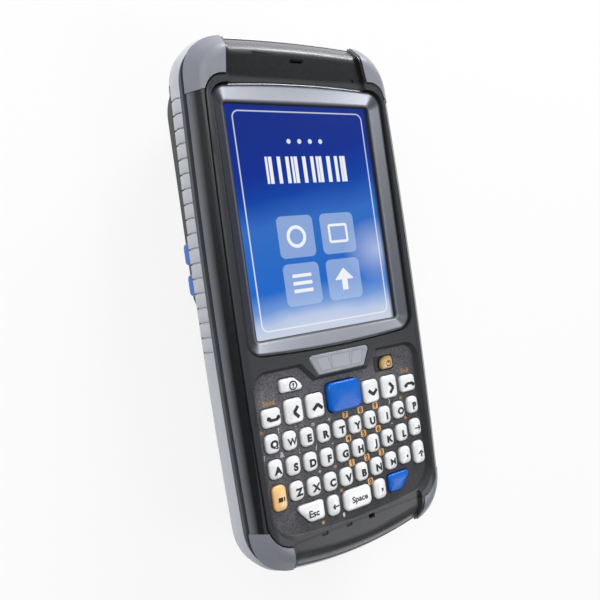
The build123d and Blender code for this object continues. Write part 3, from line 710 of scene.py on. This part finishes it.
def band_finish(colours):
    """Light grey side band, with painted shade across each notch, and darker at its lower lip by the
    upper back.
    """
    finish = Finish("light_band")
    grit = finish.noise(0.5, 3.0)
    smear = finish.noise(6.0, 3.0, 0.5, (1, 0.4, 1))
    along = finish.along
    notched = along.below(NOTCH_END, 0.2) * along.above(NOTCH_START, 0.2)
    # painted shade: each scale between two notches darkens towards one of them
    notch_shade = ((NOTCH_END - along) % NOTCH_PITCH / NOTCH_PITCH) ** 2 * notched
    cloud = (smear * 0.7 + grit * 0.3).clamp()
    base = finish.mix(cloud, toned(colours.band, 0.9), toned(colours.band, 1.05))
    base = finish.mix(notch_shade * 0.3, base, NOTCH_SHADE_GREY)
    lower_lip = finish.z.below(LIP_TOP, 0.1) * along.below(LIP_END, 0.2) * along.above(LIP_START, 0.2)
    return finish.surface(
        Base_Color=finish.mix(lower_lip, base, colours.shell),
        Roughness=0.45 + (grit - 0.5) * 0.15,
        Normal=finish.bump(grit, 0.01),
    )


def window_finish(name, colour, panes=()):
    """Smoked glossy window, paler where it has panes inside a thin line."""
    finish = Finish(name)
    cloud = finish.noise(3.5)
    base = finish.mix((cloud * 1.6 - 0.3).clamp(), colour, toned(colour, 1.25))
    for pane_x, pane_y, half_x, half_y, lean in panes:
        up = finish.along - pane_y
        side = abs(finish.x - pane_x - up * lean) - half_x
        away = side.most(abs(up) - half_y)
        base = finish.mix(away.below(0, 0.15), base, toned(colour, 1.3))
        base = finish.mix(abs(away).below(0.12, 0.12) * 0.6, base, toned(colour, 0.7))
    return finish.surface(
        Base_Color=base,
        Roughness=0.12 + cloud * 0.08,
        Coat_Weight=0.8,
        Coat_Roughness=0.04,
    )


def paint(material, *node_names):
    """Puts a finish on the slots of CAD nodes."""
    for name in node_names:
        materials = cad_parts[name].data.materials
        if not materials:
            materials.append(material)
        for index in range(len(materials)):
            materials[index] = material


# ---- modelling ----


def select_only(*pieces):
    """Selects pieces and nothing else, and makes the first one active."""
    bpy.ops.object.select_all(action="DESELECT")
    for piece in pieces:
        piece.select_set(True)
    bpy.context.view_layer.objects.active = pieces[0]


def shift(piece, x, y, z=0.0):
    """Moves a piece in its mesh."""
    piece.data.transform(Matrix.Translation((x, y, z)))


def turn(piece, degrees):
    """Turns a flat piece in its mesh about the origin."""
    piece.data.transform(Matrix.Rotation(math.radians(degrees), 4, "Z"))


def start_sheet(name, low, high):
    """A flat square sheet over a rectangle, in edit mode with all of it selected."""
    bpy.ops.object.select_all(action="DESELECT")
    centre = (Vector(low) + Vector(high)) / 2
    bpy.ops.mesh.primitive_plane_add(size=1, location=(centre.x, centre.y, low[2]))
    piece = bpy.context.object
    piece.name = name
    piece.scale = (high[0] - low[0], high[1] - low[1], 1)
    bpy.ops.object.transform_apply(location=True, rotation=False, scale=True)
    bpy.ops.object.mode_set(mode="EDIT")
    bpy.ops.mesh.select_all(action="SELECT")
    return piece


def pick(piece, test):
    """Selects the vertices whose place passes a test, from edit mode."""
    bpy.ops.object.mode_set(mode="OBJECT")
    mesh = piece.data
    for item in (*mesh.vertices, *mesh.edges, *mesh.polygons):
        item.select = False
    for vertex in mesh.vertices:
        vertex.select = test(vertex.co)
    bpy.ops.object.mode_set(mode="EDIT")
    bpy.ops.mesh.select_mode(type="VERT")


def finish_piece(piece, material, body, smooth=None):
    """Leaves edit mode, smooths what should be smooth, and gives the piece its finish and its body."""
    if bpy.context.mode == "EDIT_MESH":
        bpy.ops.object.mode_set(mode="OBJECT")
    if smooth is not None:
        bpy.ops.object.shade_smooth_by_angle(angle=math.radians(smooth))
    piece.data.materials.clear()
    piece.data.materials.append(material)
    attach(piece, body)


def cut_corner(piece, low, high, cut):
    """Cuts one corner off a sheet, as the table of cut keys says."""
    side, end, across, along = cut
    corner_x = high.x if side > 0 else low.x
    corner_y = high.y if end > 0 else low.y
    near = 0.1 * MM
    pick(piece, lambda co: abs(co.x - corner_x) < near and abs(co.y - corner_y) < near)
    bpy.ops.mesh.bevel(offset=across * MM, segments=1, affect="VERTICES")
    turned_y = corner_y - end * across * MM
    pick(piece, lambda co: abs(co.x - corner_x) < near and abs(co.y - turned_y) < near)
    bpy.ops.transform.translate(value=(0, -end * (along - across) * MM, 0))
    bpy.ops.mesh.select_all(action="SELECT")


def cap_profile(wall, edge, crown, half):
    """Insets and heights of a cap's rings: the wall, the rounded edge, then the rise to the crown."""
    profile = [(0.0, wall)]
    for step in range(1, EDGE_STEPS + 1):
        angle = math.radians(90 * step / EDGE_STEPS)
        profile.append((edge * (1 - math.cos(angle)), wall + edge * math.sin(angle)))
    for step in range(1, CROWN_STEPS + 1):
        share = step / CROWN_STEPS * CROWN_REACH
        profile.append((edge + (half - edge) * share, wall + edge + crown * (1 - (1 - share) ** 2)))
    return profile


def raise_cap(name, low, high, corner, sizes, cut=None):
    """A keycap: rounded plan, straight wall, rounded edge and a crowned top."""
    width, depth = high.x - low.x, high.y - low.y
    edge = min(sizes.edge, EDGE_SHARE * min(width, depth))
    piece = start_sheet(name, low, high)
    bpy.ops.mesh.select_mode(type="VERT")
    if cut:
        cut_corner(piece, low, high, cut)
    bpy.ops.mesh.bevel(offset=corner, segments=CORNER_STEPS, affect="VERTICES")
    bpy.ops.mesh.select_all(action="SELECT")
    bpy.ops.mesh.select_mode(type="FACE")
    centre = ((low.x + high.x) / 2, (low.y + high.y) / 2, low.z)
    wall = high.z - low.z - sizes.crown - edge
    inset, height = 0.0, 0.0
    for next_inset, next_height in cap_profile(wall, edge, sizes.crown, min(width, depth) / 2):
        bpy.ops.mesh.extrude_region_move(TRANSFORM_OT_translate={"value": (0, 0, next_height - height)})
        shrink_x = (width - 2 * next_inset) / (width - 2 * inset)
        shrink_y = (depth - 2 * next_inset) / (depth - 2 * inset)
        bpy.ops.transform.resize(value=(shrink_x, shrink_y, 1), center_override=centre)
        inset, height = next_inset, next_height
    return piece


def copy_piece(source, name, way):
    """A copy with its own mesh, moved in its mesh."""
    piece = source.copy()
    piece.data = source.data.copy()
    piece.name = name
    bpy.context.collection.objects.link(piece)
    shift(piece, *way)
    return piece


def merged_copy(node, name):
    """A copy of a CAD node's mesh with its doubles merged, alone selected and in edit mode."""
    piece = bpy.data.objects.new(name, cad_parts[node].data.copy())
    bpy.context.collection.objects.link(piece)
    select_only(piece)
    bpy.ops.object.mode_set(mode="EDIT")
    bpy.ops.mesh.select_all(action="SELECT")
    bpy.ops.mesh.remove_doubles(threshold=MERGE_WITHIN)
    return piece


def key_box(name, lip):
    """Lowest and highest corner of the part of a key that stands over the panel."""
    low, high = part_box(name)
    low = Vector((low.x + lip, low.y + lip, PANEL_Z - CAP_FOOT))
    return low, Vector((high.x - lip, high.y - lip, high.z))


# ---- flat signs ----


def join_all(pieces, name):
    """Several flat pieces as one."""
    select_only(*pieces)
    bpy.ops.object.join()
    pieces[0].name = name
    return pieces[0]


def lettering(name, text, size, bold, stretch=1.0):
    """Flat text as a mesh round the origin."""
    bpy.ops.object.select_all(action="DESELECT")
    bpy.ops.object.text_add(location=(0, 0, 0))
    piece = bpy.context.object
    piece.name = name
    piece.data.body = text
    piece.data.size = 1.0
    piece.data.offset = bold
    piece.data.resolution_u = TEXT_STEPS
    bpy.ops.object.convert(target="MESH")
    piece = bpy.context.object
    across = [vertex.co.x for vertex in piece.data.vertices]
    along = [vertex.co.y for vertex in piece.data.vertices]
    shift(piece, -(min(across) + max(across)) / 2, -(min(along) + max(along)) / 2)
    piece.data.transform(Matrix.Diagonal((size * stretch, size, size, 1)))
    return piece


def bar(name, centre, length, width, corner, angle=0.0):
    """A flat rounded bar, for signs that no letter gives."""
    piece = start_sheet(name, (-length / 2, -width / 2, 0), (length / 2, width / 2, 0))
    bpy.ops.mesh.bevel(offset=corner, segments=BAR_STEPS, affect="VERTICES")
    bpy.ops.object.mode_set(mode="OBJECT")
    turn(piece, angle)
    shift(piece, *centre)
    return piece


def ring(name, radius, line):
    """A flat round line."""
    piece = start_sheet(name, (-radius, -radius, 0), (radius, radius, 0))
    bpy.ops.mesh.bevel(offset=radius * 0.98, segments=RING_STEPS, affect="VERTICES")
    bpy.ops.mesh.select_mode(type="FACE")
    bpy.ops.mesh.select_all(action="SELECT")
    bpy.ops.mesh.inset(thickness=line)
    bpy.ops.mesh.delete(type="FACE")
    bpy.ops.object.mode_set(mode="OBJECT")
    return piece


def chevron(name, size, angle):
    """A bold open arrow that points to +X before it is turned."""
    arms = [
        bar("arm_up", (0, size * 0.24), size * 0.72, size * 0.32, size * 0.04, -48),
        bar("arm_down", (0, -size * 0.24), size * 0.72, size * 0.32, size * 0.04, 48),
    ]
    piece = join_all(arms, name)
    turn(piece, angle)
    return piece


def arrow(name, shaft_centre, shaft_length, shaft_width, head_size, head_place, angle):
    """An arrow: a straight shaft under a chevron."""
    head = chevron("head", head_size, angle)
    shift(head, *head_place)
    return join_all([bar("shaft", shaft_centre, shaft_length, shaft_width, 0.05 * MM), head], name)


def handset(name, width, angle):
    """A telephone handset: a grip with two ear pieces."""
    parts = [
        bar("grip", (0, -width * 0.06), width * 0.7, width * 0.2, width * 0.06),
        bar("ear", (-width * 0.37, width * 0.06), width * 0.3, width * 0.28, width * 0.08, -28),
        bar("mouth", (width * 0.37, width * 0.06), width * 0.3, width * 0.28, width * 0.08, 28),
    ]
    piece = join_all(parts, name)
    turn(piece, angle)
    return piece


def key_sign(name, letter):
    """The flat sign of one key round the origin, or nothing for a bare key."""
    short = name.removeprefix("key_")
    label = f"legend_{short}"
    if short in LETTERS:
        bold, stretch = WIDE_LETTERS.get(short, USUAL_LETTER)
        return lettering(label, short.upper(), letter, bold, stretch)
    if name in CHEVRONS:
        return chevron(label, 3.4 * MM, CHEVRONS[name])
    if name in WORDS:
        text, size = WORDS[name]
        return lettering(label, text, size * MM, WORD_BOLD)
    if name in ("key_send", "key_end"):
        return handset(label, 4.4 * MM, 0 if name == "key_send" else 180)
    if name == "key_backspace":
        return arrow(label, (0.1 * MM, 0), 2.2 * MM, 0.45 * MM, 1.5 * MM, (-0.75 * MM, 0), 180)
    if name == "key_enter":
        return arrow(label, (-0.1 * MM, 0), 2.2 * MM, 0.45 * MM, 1.5 * MM, (0.75 * MM, 0), 0)
    if name == "key_shift":
        return arrow(label, (0, -0.7 * MM), 0.7 * MM, 1.3 * MM, 1.9 * MM, (0, 0.3 * MM), 90)
    if name == "key_help":
        mark = lettering("mark", "?", 1.8 * MM, 0.06)
        return join_all([mark, ring("circle", 1.45 * MM, 0.45 * MM)], label)
    if name == "key_power":
        tick = bar("tick", (0, 0.45 * MM), 0.3 * MM, 0.9 * MM, 0.1 * MM)
        return join_all([ring("circle", 0.95 * MM, 0.27 * MM), tick], label)
    if name == "key_orange":
        panel = bar("panel", (-0.5 * MM, 0), 1.6 * MM, 1.3 * MM, 0.2 * MM)
        return join_all([panel, bar("wave", (0.75 * MM, 0), 0.4 * MM, 1.3 * MM, 0.15 * MM)], label)
    return None


def lay_on(sign, place, carrier, lift):
    """Moves a flat sign over a place and lays it on the crowned piece under it."""
    shift(sign, place.x, place.y, place.z + HOVER)
    select_only(sign)
    bpy.ops.object.mode_set(mode="EDIT")
    bpy.ops.mesh.select_all(action="SELECT")
    bpy.ops.mesh.quads_convert_to_tris()
    bpy.ops.mesh.subdivide(number_cuts=SIGN_CUTS)
    bpy.ops.object.mode_set(mode="OBJECT")
    wrap = sign.modifiers.new("lay", "SHRINKWRAP")
    wrap.wrap_method = "PROJECT"
    wrap.use_project_z = True
    wrap.use_negative_direction = True
    wrap.use_positive_direction = False
    wrap.target = carrier
    wrap.offset = lift
    bpy.ops.object.modifier_apply(modifier="lay")


# ---- operators ----


class TERMINAL_OT_mouldings(bpy.types.Operator):
    """Finish the shells, the side band, the bumpers and what is inside them"""

    bl_idname = "terminal.mouldings"
    bl_label = "Mouldings"

    def execute(self, context):
        colours = context.scene.terminal_colours
        paint(front_shell_finish(colours), "front_housing")
        back = grained("black_back", colours.back, 0.5, grain=0.6, depth=0.05)
        paint(back, "rear_housing", "battery_pack")
        paint(band_finish(colours), "grip_band")
        bumper = grained("soft_bumper", colours.bumper, 0.4, grain=0.35, depth=0.01, spread=0.06)
        paint(bumper, "corner_bumpers")
        paint(grained("latch_grey", LATCH_GREY, 0.45, grain=0.4, depth=0.02), "battery_latch")
        paint(grained("board_green", BOARD_GREEN, 0.4, grain=0.8, depth=0.02), "main_board")
        paint(grained("engine_black", ENGINE_BLACK, 0.35), "scan_engine")
        steel = grained("screw_steel", SCREW_STEEL, 0.35, 0.3, depth=0.01, spread=0.1, Metallic=1.0)
        paint(steel, "housing_screws")
        return {"FINISHED"}


class TERMINAL_OT_display(bpy.types.Operator):
    """Finish the bezel, the lit display and the windows"""

    bl_idname = "terminal.display"
    bl_label = "Display"

    def execute(self, context):
        colours = context.scene.terminal_colours
        paint(bezel_finish(colours), "display_bezel")
        paint(picture_finish(), "display_module")
        paint(window_finish("smoked_window", colours.window, LAMP_PANES), "status_window")
        paint(window_finish("scan_glass", SCAN_RED), "scan_window")
        return {"FINISHED"}


class TERMINAL_OT_keycaps(bpy.types.Operator):
    """Model the caps of the keypad and of the left side keys, and finish the right one"""

    bl_idname = "terminal.keycaps"
    bl_label = "Keycaps"

    def execute(self, context):
        colours = context.scene.terminal_colours
        finishes = {
            "white_key": glossy("white_cap", colours.key),
            "blue_key": glossy("blue_cap", colours.blue, roughness=0.28, coat=0.05, shine=0.25),
            "orange_key": glossy("orange_cap", colours.orange, roughness=0.25, coat=0.2),
        }
        sizes = context.scene.terminal_keys
        self.side_keys(sizes.push, finishes["blue_key"])
        self.keypad(sizes, finishes)
        return {"FINISHED"}

    def side_keys(self, push, blue):
        """Copies of the left side keys whose outer part stands further out."""
        paint(blue, *SIDE_KEYS, "right_scan_button")
        for name in SIDE_KEYS:
            piece = merged_copy(name, f"cap_{name}")
            pick(piece, lambda co: co.x < FLANK_X)
            bpy.ops.transform.translate(value=(-push, 0, 0))
            finish_piece(piece, blue, f"{name}_body", smooth=40)
            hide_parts(name)

    def keypad(self, sizes, finishes):
        """A cap for each key. The letter keys' caps are copies of the first of them."""
        slots = {**dict.fromkeys(BLUE_KEYS, "blue_key"), **dict.fromkeys(ORANGE_KEYS, "orange_key")}
        first_letter = None
        for name in KEYS:
            short = name.removeprefix("key_")
            low, high = key_box(name, sizes.lip)
            slot = slots.get(name, "white_key")
            if short in LETTERS and first_letter:
                piece = copy_piece(first_letter, f"cap_{short}", low - first_low)
                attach(piece, f"{name}_body")
            else:
                corner = CORNERS.get(name, USUAL_CORNER) * MM
                piece = raise_cap(f"cap_{short}", low, high, corner, sizes, CUT_KEYS.get(name))
                finish_piece(piece, finishes[slot], f"{name}_body", smooth=60)
            if short in LETTERS and not first_letter:
                first_letter, first_low = piece, low
            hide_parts(name)


class TERMINAL_OT_legends(bpy.types.Operator):
    """Print the legends on the keycaps"""

    bl_idname = "terminal.legends"
    bl_label = "Legends"

    def execute(self, context):
        sizes = context.scene.terminal_keys
        black = ink("black_ink", context.scene.terminal_colours.legend)
        for name in KEYS:
            sign = key_sign(name, sizes.letter)
            if sign is None:
                continue
            low, high = key_box(name, sizes.lip)
            cap = bpy.data.objects[f"cap_{name.removeprefix('key_')}"]
            lay_on(sign, (low + high) / 2 + LEGEND_SHIFT, cap, sizes.print_lift)
            finish_piece(sign, black, f"{name}_body")
        return {"FINISHED"}


class TERMINAL_OT_panel_print(bpy.types.Operator):
    """Print the second functions on the keypad panel"""

    bl_idname = "terminal.panel_print"
    bl_label = "Panel print"

    def execute(self, context):
        colours = context.scene.terminal_colours
        tiles, figures = [], []
        for digit, (x, y) in DIGITS.items():
            tiles.append(bar(f"tile_{digit}", self.place(x, y), DIGIT_TILE, DIGIT_TILE, 0.45 * MM))
            figure = self.text(f"figure_{digit}", digit, x, y, SIGN_SIZE, WORD_BOLD)
            shift(figure, 0, 0, 0.02 * MM)
            figures.append(figure)
        words = [
            self.text("word", text, x, y, WORD_SIZE, PANEL_BOLD) for text, (x, y) in PANEL_WORDS.items()
        ]
        words += [bar("mark", self.place(x, y), 1.0 * MM, 1.0 * MM, 0.25 * MM) for x, y in PANEL_MARKS]
        signs = [self.text("sign", text, x, y, SIGN_SIZE, PANEL_BOLD) for text, x, y in PANEL_SIGNS]
        signs.append(bar("lamp_sign", self.place(*LAMP_SIGN), 0.8 * MM, 1.4 * MM, 0.3 * MM))
        for pieces, name, material in (
            (tiles, "print_orange", ink("orange_ink", colours.tile)),
            (figures, "print_figures", ink("panel_black_ink", colours.legend)),
            (signs, "print_white", ink("white_ink", colours.sign)),
            (words, "print_tan", ink("tan_ink", colours.tan)),
        ):
            piece = join_all(pieces, name)
            shift(piece, 0, 0, PANEL_Z + context.scene.terminal_keys.print_lift)
            finish_piece(piece, material, "housing")
        return {"FINISHED"}

    def place(self, x, y):
        """A place on the panel in metres."""
        return x * MM, DISPLAY_Y + y * MM

    def text(self, name, text, x, y, size, bold):
        """Lettering at a place on the panel."""
        piece = lettering(name, text, size, bold)
        shift(piece, *self.place(x, y))
        return piece


class TERMINAL_OT_stage(bpy.types.Operator):
    """Lay the pale floor and set the lamps, the surroundings and the camera"""

    bl_idname = "terminal.stage"
    bl_label = "Stage"

    def execute(self, context):
        scene = context.scene
        scene.view_settings.view_transform = "Standard"
        settings = scene.terminal_stage
        self.floor(settings.floor)
        self.surroundings(scene, settings.sky)
        for name, (way, width, height, power) in LAMPS.items():
            self.lamp(name, Vector(way), width, height, getattr(settings, power))
        self.camera(scene, settings)
        return {"FINISHED"}

    def floor(self, width):
        """A pale floor that keeps a faint shadow and mostly glows where it is seen."""
        bpy.ops.object.select_all(action="DESELECT")
        bpy.ops.mesh.primitive_plane_add(size=width, location=(0, 0, -FLOOR_DROP))
        floor = bpy.context.object
        floor.name = "pale_floor"
        finish = Finish("pale_floor")
        tone = finish.mix(finish.noise(180.0), (0.82, 0.82, 0.82), (0.84, 0.84, 0.84))
        ground = finish.node("ShaderNodeBsdfDiffuse", sockets={"Color": tone}).outputs[0]
        white = {"Color": (1, 1, 1), "Strength": 1.0}
        glow = finish.node("ShaderNodeEmission", sockets=white).outputs[0]
        path = finish.node("ShaderNodeLightPath").outputs
        seen = Mask(finish, path["Is Camera Ray"]).most(Mask(finish, path["Is Glossy Ray"]))
        blend = finish.node("ShaderNodeMixShader", sockets={0: seen * FLOOR_GLOW, 1: ground, 2: glow})
        finish.feed(finish.output.inputs[0], blend.outputs[0])
        floor.data.materials.append(finish.material)

    def surroundings(self, scene, strength):
        """Soft grey, darker at the terminal's right, and as pale as the floor where it is seen."""
        world = bpy.data.worlds.new("studio")
        scene.world = world
        world.use_nodes = True
        background = world.node_tree.nodes["Background"]
        background.inputs[0].default_value = SKY_COLOUR
        sky = Sky(world)
        seen = Mask(sky, sky.node("ShaderNodeLightPath").outputs["Is Camera Ray"])
        grey = strength * (1 - sky.x.above(0.8, 0.25) * RIGHT_SHADE)
        sky.feed(background.inputs[1], seen * SKY_SEEN + (1 - seen) * grey)

    def lamp(self, name, way, width, height, power):
        """A soft rectangular lamp that faces the terminal."""
        bpy.ops.object.light_add(type="AREA", location=LAMP_AIM + way)
        lamp = bpy.context.object
        lamp.name = name
        lamp.data.shape = "RECTANGLE"
        lamp.data.size = width
        lamp.data.size_y = height
        lamp.data.energy = power
        lamp.rotation_euler = (-way).to_track_quat("-Z", "Y").to_euler()

    def camera(self, scene, settings):
        """The camera over the terminal's left side."""
        bpy.ops.object.camera_add(location=Vector(settings.eye) + Vector((0, DISPLAY_Y, GLASS_Z)))
        camera = bpy.context.object
        camera.name = "eye"
        camera.data.sensor_width = SENSOR_WIDTH
        camera.data.lens = settings.lens
        camera.data.clip_start = 0.01
        camera.data.clip_end = 20
        back = EYE_BACK.normalized()
        up = back.cross(EYE_RIGHT.normalized()).normalized()
        right = up.cross(back)
        camera.rotation_euler = Matrix((right, up, back)).transposed().to_euler()
        scene.camera = camera


class TERMINAL_PT_panel(bpy.types.Panel):
    """Steps and settings of the terminal's dressing"""

    bl_idname = "TERMINAL_PT_panel"
    bl_label = "Data terminal"
    bl_space_type = "VIEW_3D"
    bl_region_type = "UI"
    bl_category = "Terminal"

    def draw(self, context):
        for operator in STEPS:
            self.layout.operator(operator.bl_idname)
        for group in GROUPS:
            settings = getattr(context.scene, group)
            box = self.layout.box()
            for name in settings.__annotations__:
                box.prop(settings, name)


STEPS = (
    TERMINAL_OT_stage,
    TERMINAL_OT_mouldings,
    TERMINAL_OT_display,
    TERMINAL_OT_keycaps,
    TERMINAL_OT_legends,
    TERMINAL_OT_panel_print,
)
GROUPS = {
    "terminal_colours": TerminalColours,
    "terminal_keys": TerminalKeys,
    "terminal_stage": TerminalStage,
}


def register():
    for made in (*GROUPS.values(), *STEPS, TERMINAL_PT_panel):
        bpy.utils.register_class(made)
    for name, group in GROUPS.items():
        setattr(bpy.types.Scene, name, bpy.props.PointerProperty(type=group))


def unregister():
    for name in GROUPS:
        delattr(bpy.types.Scene, name)
    for made in reversed((*GROUPS.values(), *STEPS, TERMINAL_PT_panel)):
        bpy.utils.unregister_class(made)


def main():
    register()
    for step in STEPS:
        category, name = step.bl_idname.split(".")
        getattr(getattr(bpy.ops, category), name)()


if __name__ == "__main__":
    main()
